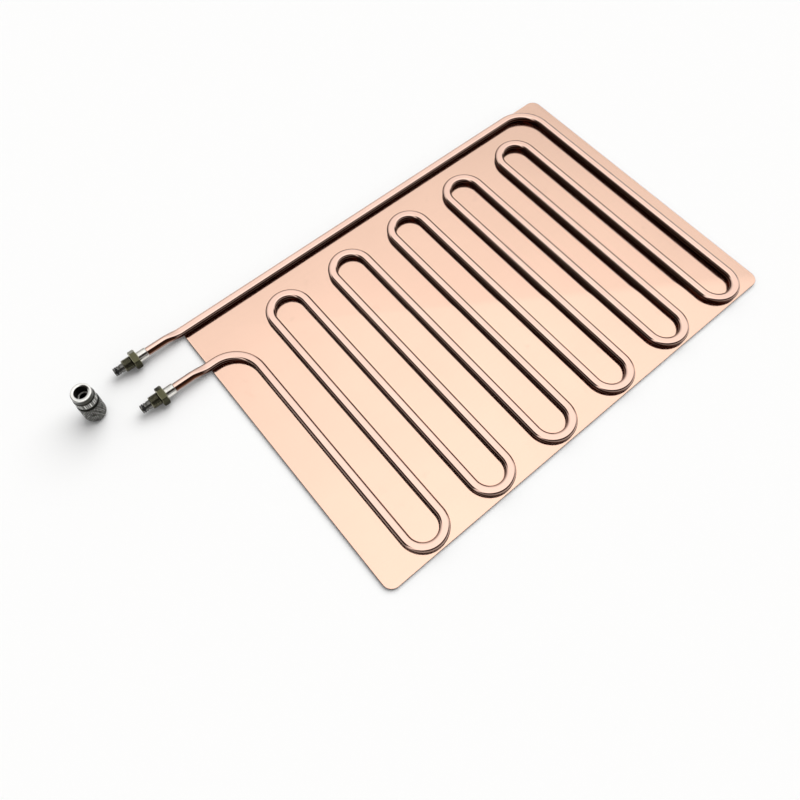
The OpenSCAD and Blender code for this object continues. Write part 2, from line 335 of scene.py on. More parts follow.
class Paint:
    """The node tree of one material or world."""

    def __init__(self, tree):
        self.tree = tree
        tree.nodes.clear()

    def node(self, kind, settings=None, values=(), out=0):
        """Adds a node: its settings first, then its sockets; gives back one output."""
        made = self.tree.nodes.new(kind)
        for key, value in (settings or {}).items():
            setattr(made, key, value)
        pairs = values.items() if isinstance(values, dict) else enumerate(values)
        for key, value in pairs:
            socket = made.inputs[key]
            if isinstance(value, Wire):
                self.tree.links.new(value.socket, socket)
            elif socket.type == "RGBA" and len(value) == 3:
                socket.default_value = (*value, 1.0)
            else:
                socket.default_value = value
        return Wire(self, made.outputs[out]) if len(made.outputs) else None

    def blend(self, factor, first, second):
        """Mixes two colours; the Mix node's colour sockets are told apart by their numbers."""
        factor_in, first_in, second_in, colour_out = 0, 6, 7, 2
        sockets = {factor_in: factor, first_in: first, second_in: second}
        return self.node("ShaderNodeMix", {"data_type": "RGBA"}, sockets, colour_out)

    def stretched(self, vector, scale):
        """A vector times a scale of three numbers."""
        return self.node("ShaderNodeMapping", {}, {"Vector": vector, "Scale": scale})

    def place(self, scale=(1, 1, 1)):
        """Object coordinates, scaled."""
        return self.stretched(self.node("ShaderNodeTexCoord", out="Object"), scale)

    def height(self):
        """Height above the plate's underside."""
        return self.node("ShaderNodeSeparateXYZ", {}, (self.place(),), "Z")

    def lines_along(self, scale, detail, roughness):
        """Noise drawn out into lines on the piece's own UV map."""
        along = self.node("ShaderNodeUVMap", {"uv_map": "along"})
        return self.noise(self.stretched(along, scale), 1.0, detail, roughness)

    def mark(self, name):
        """A point attribute of the piece."""
        return self.node("ShaderNodeAttribute", {"attribute_name": name}, (), "Fac")

    def noise(self, vector, scale, detail, roughness):
        """Noise from 0 to 1 over a vector."""
        return self.node(
            "ShaderNodeTexNoise",
            {},
            {"Vector": vector, "Scale": scale, "Detail": detail, "Roughness": roughness},
            "Fac",
        )

    def bump(self, height, strength, distance):
        """A normal tilted by a height."""
        values = {"Height": height, "Strength": strength, "Distance": distance}
        return self.node("ShaderNodeBump", {}, values)

    def surface(self, **sockets):
        """Principled surface; socket names are written with _ for a space."""
        values = {key.replace("_", " "): value for key, value in sockets.items()}
        shader = self.node("ShaderNodeBsdfPrincipled", {}, values)
        self.node("ShaderNodeOutputMaterial", {}, {"Surface": shader})


def new_paint(name):
    """A new material and its node tree."""
    material = bpy.data.materials.new(name)
    material.use_nodes = True
    return material, Paint(material.node_tree)


def scaled(rgb, share):
    """A colour made lighter or darker by a share."""
    return tuple(min(1.0, c * share) for c in rgb)


def dress(piece, material):
    """Gives a piece its one material."""
    piece.data.materials.clear()
    piece.data.materials.append(material)
    return piece


# Finishes


def rolled_copper(rgb):
    """Satin sheet: rolling lines along X, faint clouds, tiny marks and painted shade on its side
    faces.
    """
    material, p = new_paint("rolled_copper")
    edge_shade_from, edge_shade_to = 2.6 * MM, 2.95 * MM
    here = p.place()
    lines = p.noise(p.place(scale=(6, 900, 900)), 1.0, 3.0, 0.65)
    fine = p.noise(p.place(scale=(30, 3000, 3000)), 1.0, 2.0, 0.6)
    clouds = p.noise(here, 9.0, 3.0, 0.55)
    marks = p.noise(here, 60.0, 4.0, 0.6)
    tone = p.blend(clouds.band(0.35, 0.7), scaled(rgb, 0.975), scaled(rgb, 1.02))
    tone = p.blend(marks.band(0.62, 0.75) * 0.35, tone, scaled(rgb, 0.9))
    tone = p.blend((lines * 0.5 + fine * 0.5).band(0.35, 0.65) * 0.25, tone, scaled(rgb, 1.06))
    rough = 0.10 + clouds * 0.05 + lines * 0.04 + marks.band(0.55, 0.8) * 0.04
    # painted shade: the side faces below the top rounding are drawn nearly black
    tone = p.blend(p.height().band(edge_shade_from, edge_shade_to), scaled(rgb, 0.08), tone)
    relief = p.bump(lines + fine * 0.5, 0.08, 0.0002)
    p.surface(Base_Color=tone, Metallic=1.0, Roughness=rough, Normal=relief)
    return material


def drawn_copper(rgb):
    """Bright tube: draw lines along it, duller bends, and painted shade low on its flanks and on
    the free tube's underside.
    """
    material, p = new_paint("drawn_copper")
    flank_shade_from, flank_shade_to = 7.4 * MM, 8.2 * MM
    lines = p.lines_along((8, 2600, 1), 3.0, 0.6)
    clouds = p.noise(p.place(), 35.0, 3.0, 0.55)
    bent = p.mark("bent")
    tone = p.blend(clouds.band(0.35, 0.7), scaled(rgb, 0.97), scaled(rgb, 1.03))
    tone = p.blend(lines.band(0.4, 0.7) * 0.3, tone, scaled(rgb, 0.92))
    tone = p.blend(bent * 0.35, tone, (rgb[0] * 0.95, rgb[1] * 0.9, rgb[2] * 0.86))
    rough = 0.035 + lines * 0.03 + clouds * 0.02 + bent * 0.02
    relief = p.bump(lines, 0.06, 0.0002)
    # painted shade: the free tube's underside is drawn dark, for the shadowed floor it reflects
    tone = p.blend(p.mark("low"), tone, (rgb[0] * 0.1, rgb[1] * 0.05, rgb[2] * 0.03))
    # painted shade: the tube's flanks below about 7.4 mm are drawn nearly black
    flank_shade = 1 - p.height().band(flank_shade_from, flank_shade_to)
    tone = p.blend(flank_shade, tone, (rgb[0] * 0.055, rgb[1] * 0.017, rgb[2] * 0.008))
    p.surface(Base_Color=tone, Metallic=1.0, Roughness=rough, Normal=relief)
    return material


def plated(name, rgb, rough, spot_share, wear_and_highlight_rgb=(0.93, 0.92, 0.89), shade_below=None):
    """Nickel plate on brass: turned lines round the axis and small stains.

    Point attributes change it: the shade mark darkens with painted shade in recesses, on the nose
    and on faces turned from the light, the wear mark brightens and smooths with wear and painted
    highlights, inner is the dull unlit inside. Below the given height the plate gets painted shade
    all round.
    """
    material, p = new_paint(name)
    dark_inside = (0.022, 0.021, 0.018)
    shade_colour = (0.02, 0.018, 0.012)
    fade_down, fade_up = 2 * MM, 1 * MM
    lines = p.lines_along((4000, 6, 1), 2.0, 0.6)
    clouds = p.noise(p.place(), 260.0, 3.0, 0.55)
    groove, wear_and_highlight, inner = (p.mark(key) for key in ("groove", "wear_and_highlight", "inner"))
    tone = p.blend(clouds.band(0.35, 0.7), scaled(rgb, 0.9), scaled(rgb, 1.08))
    tone = p.blend(lines.band(0.4, 0.7) * 0.3, tone, scaled(rgb, 0.85))
    tone = p.blend(clouds.band(0.6, 0.72) * spot_share, tone, scaled(rgb, 0.6))
    # wear and painted highlights: chamfers, crests and the rim are drawn bright by this mark
    tone = p.blend(wear_and_highlight, tone, wear_and_highlight_rgb)
    # painted shade: recesses, the nose and faces turned from the light are darkened by this mark
    tone = p.blend(groove * 0.92, tone, scaled(rgb, 0.1))
    tone = p.blend(inner, tone, dark_inside)
    # painted shade: below the given height the plate is drawn dark all round
    if shade_below is not None:
        bright = p.height().band(shade_below - fade_down, shade_below + fade_up)
        tone = p.blend(bright, p.blend(0.8, tone, shade_colour), tone)
    uneven = (rough + lines * 0.05 + clouds * 0.05) * (1 - wear_and_highlight * 0.4)
    uneven = uneven + groove * 0.1 + inner * 0.3
    relief = p.bump(lines, 0.05, 0.0001)
    p.surface(Base_Color=tone, Metallic=1.0, Roughness=uneven, Normal=relief)
    return material


def moulded(name, rgb, rough):
    """Rubber or plastic: faint grain and a slightly uneven sheen."""
    material, p = new_paint(name)
    grain = p.noise(p.place(), 1800.0, 3.0, 0.6)
    tone = p.blend(grain.band(0.35, 0.7), scaled(rgb, 0.85), scaled(rgb, 1.15))
    p.surface(Base_Color=tone, Roughness=rough + grain * 0.1, Normal=p.bump(grain, 0.1, 0.0001))
    return material


# Plate


def outline(half_l, half_w, corner_r, inset, columns_a_corner=20):
    """Rounded rectangle pulled in by the array inset, walked anticlockwise from +X +Y.

    Each corner is an arc about its own centre: centre + (corner_r - inset)(cos a, sin a).
    """
    a = np.linspace(0, math.pi / 2, columns_a_corner)
    angle = np.concatenate([a + k * math.pi / 2 for k in range(4)])
    sx = np.repeat([1, -1, -1, 1], columns_a_corner)
    sy = np.repeat([1, 1, -1, -1], columns_a_corner)
    r = corner_r - np.asarray(inset)[:, None]
    x = sx * (half_l - corner_r) + r * np.cos(angle)
    y = sy * (half_w - corner_r) + r * np.sin(angle)
    return x, y


class COOLPLATE_OT_plate(bpy.types.Operator):
    """Make the copper plate"""

    bl_idname = "coolplate.plate"
    bl_label = "Plate"

    def execute(self, context):
        s = context.scene.coolplate_plate
        top = PLATE_HIGH.z
        edge_rows = 5
        t = np.linspace(0, math.pi / 2, edge_rows)
        inset = np.concatenate([s.edge_r * (1 - np.sin(t)), s.edge_r * (1 - np.cos(t))])
        z = np.concatenate([s.edge_r * (1 - np.cos(t)), top - s.edge_r * (1 - np.sin(t))])
        x, y = outline(PLATE_HIGH.x, PLATE_HIGH.y, s.corner_r, inset)
        points = np.stack([x, y, np.broadcast_to(z[:, None], x.shape)], -1)
        rows, columns = x.shape
        under = np.arange(columns)[::-1][None, :]
        upper = (rows - 1) * columns + np.arange(columns)[None, :]
        piece = put(
            "plate_sheet",
            points.reshape(-1, 3),
            [net(rows, columns), under, upper],
            ["base_plate"],
            sharp=math.radians(40),
        )
        dress(piece, rolled_copper(tuple(s.copper)))
        return {"FINISHED"}


# Tube


def arc(cx, cy, r, start, turn, steps):
    """Points and headings of an arc about (cx, cy) from the angle start over turn.

    A point at angle a is (cx + r cos a, cy + r sin a); the heading is square to its radius.
    """
    a = start + turn * (np.arange(steps) + 1) / steps
    side = math.copysign(1, turn)
    return cx + r * np.cos(a), cy + r * np.sin(a), a + side * math.pi / 2


def centreline(s):
    """Route of the pressed tube over the plate, from the inlet's exit to the outlet's.

    Runs are straight lines with evenly spaced rings and bends are arcs. Returned are x,
    y, the heading in radians and 1 inside a bend.
    """
    ring_gap, corner_steps, bend_steps = 0.012, 16, 28
    flat_h = s.diameter - s.press
    flat_w = flat_h + math.pi * s.press / 2
    r = s.pitch / 2
    near = PLATE_LOW.y + s.near_strip + flat_w / 2 + r
    header = OUTLET_LOW.y + (OUTLET_HIGH.y - OUTLET_LOW.y) / 2
    inlet = INLET_LOW.y + (INLET_HIGH.y - INLET_LOW.y) / 2
    far = header - flat_w - s.header_strip - r
    last = PLATE_HIGH.x - s.last_inset
    first = last - (s.runs - 1) * s.pitch
    c = s.corner_bend_r
    xs, ys, hs, bent = [], [], [], []

    def straight(x, y, heading, length_left):
        """Rings about ring_gap apart over a run that ends at (x, y)."""
        n = max(2, int(length_left / ring_gap))
        t = np.arange(1, n + 1) / n
        xs.append(x - np.cos(heading) * length_left * (1 - t))
        ys.append(y - np.sin(heading) * length_left * (1 - t))
        hs.append(np.full(n, heading))
        bent.append(np.zeros(n))

    def curve(cx, cy, radius, start, turn, steps):
        """Rings over a bend."""
        x, y, h = arc(cx, cy, radius, start, turn, steps)
        xs.append(x)
        ys.append(y)
        hs.append(h)
        bent.append(np.ones(steps))

    left = PLATE_LOW.x
    xs.append(np.array([left]))
    ys.append(np.array([inlet]))
    hs.append(np.array([0.0]))
    bent.append(np.array([0.0]))
    straight(first - c, inlet, 0.0, first - c - left)
    curve(first - c, inlet - c, c, math.pi / 2, -math.pi / 2, corner_steps)
    for i in range(s.runs):
        x = first + i * s.pitch
        down = i % 2 == 0
        y0 = (inlet - c if i == 0 else far) if down else near
        y1 = near if down else (header - c if i == s.runs - 1 else far)
        straight(x, y1, -math.pi / 2 if down else math.pi / 2, abs(y1 - y0))
        if i < s.runs - 1:
            if down:
                curve(x + r, near, r, math.pi, math.pi, bend_steps)
            else:
                curve(x + r, far, r, math.pi, -math.pi, bend_steps)
    curve(last - c, header - c, c, 0.0, math.pi / 2, corner_steps)
    straight(left, header, math.pi, last - c - left)
    return np.concatenate(xs), np.concatenate(ys), np.concatenate(hs), np.concatenate(bent)


def section(flat, radius, count):
    """Points of a flat-sided oval: two half circles joined by two flats of the length flat.

    count points, an equal share of its girth apart, from the middle of the top flat:
    sideways and upwards offsets are arrays over the path and the girth.
    """
    flat = np.asarray(flat)[:, None]
    radius = np.asarray(radius)[:, None]
    girth = 2 * flat + TURN * radius
    d = (np.arange(count) / count)[None, :] * girth
    half = math.pi * radius
    on_first = np.clip(d, 0, flat / 2)
    on_right = np.clip(d - flat / 2, 0, half)
    on_under = np.clip(d - flat / 2 - half, 0, flat)
    on_left = np.clip(d - 1.5 * flat - half, 0, half)
    on_last = np.clip(d - 1.5 * flat - 2 * half, 0, flat / 2)
    a = math.pi / 2 - (on_right + on_left) / radius
    middle = np.where(on_left > 0, -flat / 2 + on_last, on_first - on_under)
    side = middle + radius * np.cos(a)
    up = radius * np.sin(a)
    return side, up


class COOLPLATE_OT_tube(bpy.types.Operator):
    """Make the coolant tube"""

    bl_idname = "coolplate.tube"
    bl_label = "Coolant tube"

    def execute(self, context):
        s = context.scene.coolplate_tube
        x, y, heading, bent = centreline(s)
        flat_h = s.diameter - s.press
        flat_z = PLATE_HIGH.z + flat_h / 2
        port_z = OUTLET_LOW.z + (OUTLET_HIGH.z - OUTLET_LOW.z) / 2
        socket_x = OUTLET_HIGH.x
        flare_steps, around, blur_rings = 18, 64, 9
        # distance in front of the plate's edge, in flare lengths, to the socket's shoulder
        shoulder = 1.0 + (PLATE_LOW.x - s.flare - socket_x + SOCKET_DEPTH) / s.flare
        out = np.concatenate([np.linspace(0, 1, flare_steps + 1)[1:], [shoulder]])
        reach = out * s.flare
        ahead_x = PLATE_LOW.x - reach
        rise = ease(np.minimum(out, 1))
        x = np.concatenate([ahead_x[::-1], x, ahead_x])
        n = len(reach)
        y = np.concatenate([np.full(n, y[0]), y, np.full(n, y[-1])])
        heading = np.concatenate([np.zeros(n), heading, np.full(n, math.pi)])
        bent = np.concatenate([np.zeros(n), bent, np.zeros(n)])
        round_share = np.concatenate([rise[::-1], np.zeros(len(x) - 2 * n), rise])
        z = flat_z + (port_z - flat_z) * round_share
        radius = flat_h / 2 + s.press / 2 * round_share
        flat = math.pi * s.press / 2 * (1 - round_share)
        side, up = section(flat, radius, around)
        right = np.stack([np.sin(heading), -np.cos(heading)], -1)
        px = x[:, None] + right[:, :1] * side
        py = y[:, None] + right[:, 1:] * side
        pz = z[:, None] + up
        points = np.stack([px, py, pz], -1)
        step = np.hypot(np.diff(x), np.diff(y))
        travelled = np.concatenate([[0], np.cumsum(step)])
        rows, columns = px.shape
        girthwise = np.arange(columns)[None, :] * TURN * s.diameter / 2 / columns
        uv = np.stack(np.broadcast_arrays(travelled[:, None], girthwise), -1).reshape(-1, 2)
        first = np.arange(columns)[None, :]
        final = (rows - 1) * columns + np.arange(columns)[::-1][None, :]
        blur = np.hanning(blur_rings)
        bent = np.convolve(bent, blur / blur.sum(), mode="same")
        # painted shade on the free tube's underside, for the shadowed floor it reflects: full under
        # its bright crest, half below its middle
        level = up / radius[:, None]
        under_crest = 1 - ease((level - 0.72) / 0.2)
        thinning = 0.5 + 0.5 * ease(level / 0.25)
        low = under_crest * thinning * ease(round_share * 2)[:, None]
        piece = put(
            "tube_body",
            points.reshape(-1, 3),
            [net(rows, columns)[:, ::-1], first, final],
            ["coolant_tube"],
            uv=uv,
            marks={"bent": np.repeat(bent, columns), "low": low.ravel()},
            sharp=math.radians(50),
        )
        dress(piece, drawn_copper(tuple(s.copper)))
        return {"FINISHED"}


# Fittings


def ring_piece(name, profile, columns, replaced, place, groove=None, sharp=None):
    """A turned piece from a closed profile of (radius, height) points.

    The profile is carried round the axis as turned says, and place moves the points.
    """
    p = np.asarray(profile, float)
    points = place(turned(p[:, :1], p[:, 1:], columns))
    around = np.arange(columns) / columns * TURN * np.abs(p[:, :1]).max()
    walked = np.concatenate([[0], np.cumsum(np.linalg.norm(np.diff(p, axis=0), axis=1))])
    uv = np.stack(np.broadcast_arrays(walked[:, None], around[None, :]), -1).reshape(-1, 2)
    marks = {"groove": np.repeat(groove if groove is not None else np.zeros(len(p)), columns)}
    return put(
        name,
        points.reshape(-1, 3),
        [net(len(p), columns, rows_meet=True)],
        replaced,
        uv=uv,
        marks=marks,
        sharp=sharp,
    )


def ports():
    """Name of each fitting, and what puts an upright piece's points on its axis."""
    for name, low, high in (("inlet", INLET_LOW, INLET_HIGH), ("outlet", OUTLET_LOW, OUTLET_HIGH)):
        y, z = (low.y + high.y) / 2, (low.z + high.z) / 2
        yield name, functools.partial(at_port, y=y, z=z, socket_x=high.x)


class COOLPLATE_OT_nozzles(bpy.types.Operator):
    """Make the two nozzles and their seal rings"""

    bl_idname = "coolplate.nozzles"
    bl_label = "Nozzles"

    def execute(self, context):
        s = context.scene.coolplate_fittings
        t = context.scene.coolplate_tube
        nozzle_l = INLET_HIGH.x - INLET_LOW.x
        collar_end = s.socket_l + s.hex_l + s.thread_l
        r = s.nose_d / 2
        lip, cord, proud = 1.5 * MM, 1.5 * MM, 0.15 * MM
        groove_w = cord + 0.5 * MM
        groove_r = r + proud - cord
        seal_z = nozzle_l - lip - groove_w
        latch_gap, latch_w, latch_d = 1.4 * MM, 1.4 * MM, 0.5 * MM
        latch_z = seal_z - latch_gap - latch_w
        tube_r = t.diameter / 2 + 0.05 * MM
        bevel, rounding, sink = 0.5 * MM, 0.18 * MM, 0.7 * MM
        stem_r = 4.0 * MM
        # the nose's painted dark reflection, and the height below which the nozzle gets painted
        # shade
        nose_painted_shade, shade_below = 0.92, 8.5 * MM
        bore = s.bore_d / 2
        profile = [
            (tube_r, 0),
            (s.socket_d / 2 - bevel, 0),
            (s.socket_d / 2, bevel),
            (s.socket_d / 2, s.socket_l),
            (stem_r, s.socket_l),
            (stem_r, collar_end),
            (r, collar_end),
            (r, latch_z),
            (r - latch_d, latch_z + latch_d / 2),
            (r - latch_d, latch_z + latch_w - latch_d / 2),
            (r, latch_z + latch_w),
            (r, seal_z),
            (groove_r, seal_z),
            (groove_r, seal_z + groove_w),
            (r, seal_z + groove_w),
            (r, nozzle_l - bevel),
            (r - bevel, nozzle_l),
            (bore + sink, nozzle_l),
            (bore + sink, nozzle_l - sink),
            (bore, nozzle_l - sink),
            (bore, SOCKET_DEPTH),
            (tube_r, SOCKET_DEPTH),
        ]
        smooth = softened(profile, rounding)
        out, along = smooth[:, 0], smooth[:, 1]
        in_bore = out < bore + 0.1 * MM
        in_grooves = (out < r - 0.2 * MM) & (along > latch_z) & (along < seal_z + groove_w)
        on_nose = along > collar_end - 0.1 * MM
        # painted shade in the bore and grooves, and the nose drawn nearly black as a painted dark
        # reflection
        painted_shade_marks = np.where(in_bore | in_grooves, 1.0, np.where(on_nose, nose_painted_shade, 0.0))
        nickel = plated("bright_nickel", tuple(s.nickel), 0.1, 0.2, shade_below=shade_below)
        black = moulded("black_rubber", tuple(s.rubber), 0.38)
        a = np.linspace(0, TURN, 24, endpoint=False)
        centre_r = groove_r + cord / 2 + 0.025 * MM
        centre_z = seal_z + groove_w / 2
        ring = np.stack([centre_r + cord / 2 * np.cos(a), centre_z + cord / 2 * np.sin(a)], -1)
        for name, place in ports():
            piece = ring_piece(
                name + "_nozzle_turned",
                smooth,
                96,
                [name + "_nozzle"],
                place,
                painted_shade_marks,
                math.radians(50),
            )
            dress(piece, nickel)
            seal = ring_piece(
                name + "_seal_ring_round", ring, 72, [name + "_seal_ring"], place
            )
            dress(seal, black)
        return {"FINISHED"}


def hexagon(angle, across, sharpness=70):
    """Radius of a hexagon with slightly rounded corners, at each angle.

    With the six distances d_k = cos(angle - k 60 degrees) / (across / 2), the radius is
    one over their p-norm, and p sets how sharp the corners are.
    """
    k = np.arange(6) * TURN / 6
    d = np.clip(np.cos(angle[:, None] - k), 0, None) / (across / 2)
    largest = d.max(1, keepdims=True)
    return 1 / (largest[:, 0] * ((d / largest) ** sharpness).sum(1) ** (1 / sharpness))


class COOLPLATE_OT_collars(bpy.types.Operator):
    """Make the two threaded collars"""

    bl_idname = "coolplate.collars"
    bl_label = "Threaded collars"

    def execute(self, context):
        s = context.scene.coolplate_fittings
        columns = 180
        a = np.arange(columns) * TURN / columns
        # the hexagon's flats face the angles 30 + k 60 degrees from its corners, and those
        # that don't face up get painted shade
        hex_r = hexagon(a - s.hex_turn - math.radians(30), s.hex_af)
        flat_r = s.hex_af / 2
        facing = np.round((a - s.hex_turn) / (TURN / 6) - 0.5) + 0.5
        facing_up = np.cos(facing * TURN / 6 + s.hex_turn)
        facet_shade = 0.75 * (1 - ease((facing_up - 0.1) / 0.5))
        corner_cut = np.maximum((hex_r - flat_r) / 2, 0.03 * MM)
        z0, z1 = s.socket_l, s.socket_l + s.hex_l
        stem = 4.05 * MM
        crest = s.thread_d / 2
        depth = THREAD_DEPTH * s.thread_pitch
        root = crest - depth
        rows_a_turn, lead_in = 14, 0.9 * MM
        chamfer, soft, inset = 0.05 * MM, 0.02 * MM, 0.3 * MM
        turns = s.thread_l / s.thread_pitch
        tz = np.linspace(0, s.thread_l, int(turns * rows_a_turn) + 1)
        phase = tz[:, None] / s.thread_pitch - a[None, :] / TURN
        relief = ease(saw(phase) * 1.25 - 0.1)
        fade = ease(tz / lead_in)[:, None]
        thread_r = (root + depth * relief) * fade + (root - chamfer) * (1 - fade)
        end_cut = crest - np.clip(tz - (s.thread_l - lead_in), 0, None)
        thread_r = np.minimum(thread_r, end_cut[:, None])
        rows_r, rows_z, rows_g, rows_w = [], [], [], []

        def row(radius, height, groove=0.0, wear_and_highlight=0.0):
            """Adds one ring of the profile with its marks."""
            values = (radius, height, groove, wear_and_highlight)
            for store, value in zip((rows_r, rows_z, rows_g, rows_w), values):
                store.append(np.broadcast_to(value, (columns,)))

        # painted shade by the stem and in the thread roots, wear and painted highlights on chamfers
        # and crests
        row(stem, z0, 0.6)
        row(flat_r - 0.6 * MM, z0, 0.3)
        row(flat_r - chamfer, z0, 0.0, 0.6)
        row(hex_r - soft, z0 + corner_cut - soft / 2, 0.0, 0.6)
        row(hex_r, z0 + corner_cut + inset, facet_shade)
        row(hex_r, z1 - corner_cut - inset, facet_shade)
        row(hex_r - soft, z1 - corner_cut + soft / 2, 0.0, 0.6)
        row(flat_r - chamfer, z1, 0.0, 0.6)
        row(flat_r - 0.5 * MM, z1, 0.6)
        row(crest + 0.15 * MM, z1, 0.8)
        row(root, z1 + soft, 1.0)
        for k in range(1, len(tz)):
            row(thread_r[k], z1 + tz[k], 1 - relief[k], relief[k] * 0.5)
        end = z1 + s.thread_l
        row(stem + 0.25 * MM, end)
        row(stem, end - 0.25 * MM, 0.5)
        radius, height, groove, wear_and_highlight = (np.array(q) for q in (rows_r, rows_z, rows_g, rows_w))
        points = turned(radius, height, columns)
        uv = np.stack(np.broadcast_arrays(height, a[None, :] * crest), -1).reshape(-1, 2)
        # painted shade on the collars below 10.5 mm up
        olive = plated("olive_nickel", tuple(s.olive), 0.16, 0.45, (0.6, 0.57, 0.40), 10.5 * MM)
        for name, place in ports():
            piece = put(
                name + "_collar_turned",
                place(points).reshape(-1, 3),
                [net(len(radius), columns, rows_meet=True)],
                [name + "_collar"],
                uv=uv,
                marks={"groove": groove.ravel(), "wear_and_highlight": wear_and_highlight.ravel()},
                sharp=math.radians(38),
            )
            dress(piece, olive)
        return {"FINISHED"}


# Coupling


class COOLPLATE_OT_coupling(bpy.types.Operator):
    """Make the knurled coupling and its flat seal"""

    bl_idname = "coolplate.coupling"
    bl_label = "Coupling"

    def execute(self, context):
        s = context.scene.coolplate_coupling
        f = context.scene.coolplate_fittings
        columns = 288
        a = np.arange(columns) * TURN / columns
        cx = (COUPLING_LOW.x + COUPLING_HIGH.x) / 2
        cy = (COUPLING_LOW.y + COUPLING_HIGH.y) / 2
        top = s.height
        foot_taper, front, teeth_l, neck_l = 4 * MM, 6.5 * MM, 7.5 * MM, 2.5 * MM
        front_z = top - front
        teeth_z = front_z - teeth_l
        neck_z = teeth_z - neck_l
        tooth_r = s.rim_d / 2 + 0.7 * MM
        tooth_h = 0.4 * MM
        neck_r = tooth_r - tooth_h - 0.1 * MM
        grip_r = s.grip_d / 2
        knurl_depth = 0.45 * MM
        mouth_r = (f.thread_d - f.thread_pitch) / 2
        mouth_z = top - f.thread_l
        pocket_r = mouth_r - 0.4 * MM
        pocket_z = mouth_z - 1.5 * MM
        nose_r = f.nose_d / 2 + 0.1 * MM
        nose_end = pocket_z - f.nose_l - 0.5 * MM
        bore = f.bore_d / 2
        port_r, port_l = 4.3 * MM, 10 * MM
        knurl_rows, teeth_rows, thread_rows_a_turn = 118, 22, 12
        rows_r, rows_z, rows_g, rows_w, rows_i = [], [], [], [], []

        def rows(radius, height, groove=0.0, wear_and_highlight=0.0, inner=0.0):
            """Adds rings: radius and marks are numbers, or arrays over rows or both ways."""
            height = np.atleast_1d(height)
            n = len(height)
            given = (radius, groove, wear_and_highlight, inner)
            for store, values in zip((rows_r, rows_g, rows_w, rows_i), given):
                v = np.asarray(values, float)
                v = v[:, None] if v.ndim == 1 else v
                store.append(np.broadcast_to(v, (n, columns)))
            rows_z.append(np.broadcast_to(height[:, None], (n, columns)))

        # outside, from the foot up
        # painted shade on the foot, in the knurl and tooth grooves, on the neck and in the bottom
        # bore; wear and painted highlights on the crests, teeth and rim
        foot_r = s.foot_d / 2
        rows([port_r + 0.4 * MM, foot_r - 0.9 * MM], [0.0, 0.0], 0.2)
        rows([foot_r - 0.25 * MM, foot_r], [0.12 * MM, 0.5 * MM], 0.9)
        rows(
            [(foot_r + grip_r) / 2 - 0.2 * MM, grip_r - 0.75 * MM],
            [foot_taper * 0.5, foot_taper - 0.35 * MM],
            0.9,
        )
        rows([grip_r - knurl_depth - 0.05 * MM], [foot_taper - 0.1 * MM], 0.9)
        # the lower of two crossed zigzags leaves diamonds between helical grooves
        z = np.linspace(foot_taper, neck_z, knurl_rows)
        up = (z - foot_taper) / s.diamond_h
        round_share = a * s.diamonds / TURN
        left = saw(up[:, None] + round_share[None, :])
        right = saw(up[:, None] - round_share[None, :])
        height = np.minimum(left, right)
        knurl = np.clip(height * 1.25, 0, 1) * faded_ends(z, 0.9 * MM)
        patch_round = np.sin(a * 11 + 1.5 * np.sin(a * 5))[None, :]
        patch_up = np.sin(z / MM * 1.7 + 2 * np.sin(z / MM))[:, None]
        patch = 0.5 + 0.5 * patch_round * patch_up
        rows(
            grip_r - knurl_depth + knurl_depth * knurl,
            z,
            1 - ease(knurl * 1.8),
            ease(knurl * 2.2 - 1.0) * patch,
        )
        rows([neck_r + 0.1 * MM, neck_r], [neck_z + 0.12 * MM, neck_z + 0.3 * MM], 0.7)
        rows([neck_r, neck_r], [teeth_z - 0.3 * MM, teeth_z - 0.05 * MM], 0.7)
        z = np.linspace(teeth_z, front_z, teeth_rows)
        tooth = np.clip(saw(a * s.teeth / TURN) * 1.3, 0, 1)[None, :]
        tooth = tooth * faded_ends(z, 0.7 * MM)
        patch = 0.6 + 0.4 * np.sin(np.floor(a * s.teeth / TURN) * 2.4)[None, :]
        rows(
            tooth_r - tooth_h + tooth_h * tooth,
            z,
            1 - ease(tooth * 2.0),
            ease(tooth * 2.0 - 0.7) * patch,
        )
        rows(
            [neck_r + 0.1 * MM, neck_r - 0.1 * MM, s.rim_d / 2 - 0.02 * MM, s.rim_d / 2],
            [front_z + 0.1 * MM, front_z + 0.35 * MM, front_z + 0.9 * MM, front_z + 1.4 * MM],
            [0.7, 0.6, 0.2, 0.0],
        )
        rows(
            [s.rim_d / 2, s.rim_d / 2, s.rim_d / 2 - 0.1 * MM, s.rim_d / 2 - 0.3 * MM],
            [top - 0.6 * MM, top - 0.3 * MM, top - 0.08 * MM, top],
            0.0,
            [0.0, 1.0, 1.0, 1.0],
        )
